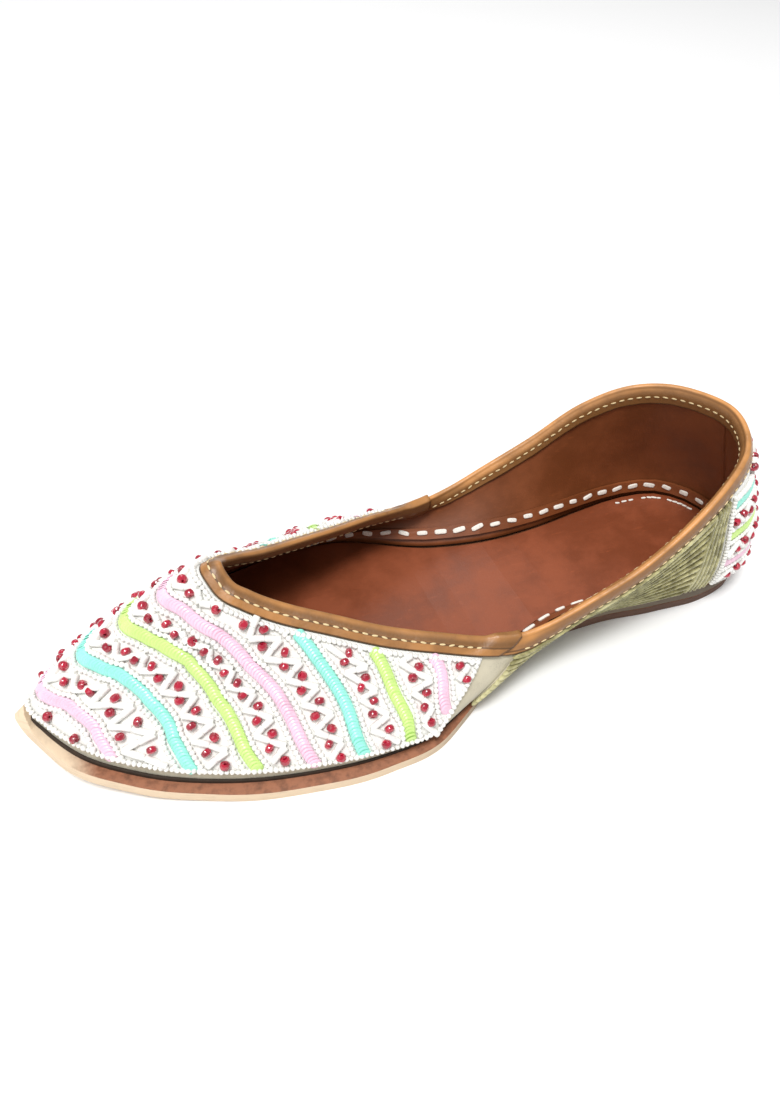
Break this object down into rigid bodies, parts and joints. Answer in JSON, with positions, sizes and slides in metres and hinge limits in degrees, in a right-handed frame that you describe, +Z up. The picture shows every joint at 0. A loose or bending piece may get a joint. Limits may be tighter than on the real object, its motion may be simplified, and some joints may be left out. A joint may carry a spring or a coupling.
{
  "type": "jutti",
  "caption": "Flat embroidered leather slip-on shoe (jutti) with beaded vamp and heel, corded sides, bound topline and a wide soft sole, standing empty and unbent.",
  "frame": {"origin": "middle of the bounding box in X and Y, on the floor", "axes": "+X from toe to heel, +Y across the shoe towards its far side, +Z up from the floor"},
  "size_m": [0.2524, 0.1006, 0.0615],
  "materials": {
    "sole_leather": "raw brown leather with pale cut edges",
    "lining_leather": "smooth reddish-brown leather inside, undyed backing under the beadwork",
    "beadwork": "cloth closely sewn with white tube beads, red beads and pink, mint and lime strips",
    "cord_thread": "laid khaki and gold-green cords",
    "binding_leather": "folded tan leather strip with a cream running stitch"
  },
  "bodies": {
    "root": {"outsole": "sole_leather", "heel_lift": "sole_leather", "insole": "lining_leather", "upper": "lining_leather", "inner_strip": "lining_leather", "vamp_embroidery": "beadwork", "side_panel_near": "cord_thread", "side_panel_far": "cord_thread", "heel_counter": "beadwork", "vamp_binding": "binding_leather", "quarter_binding": "binding_leather"}
  },
  "joints": []
}
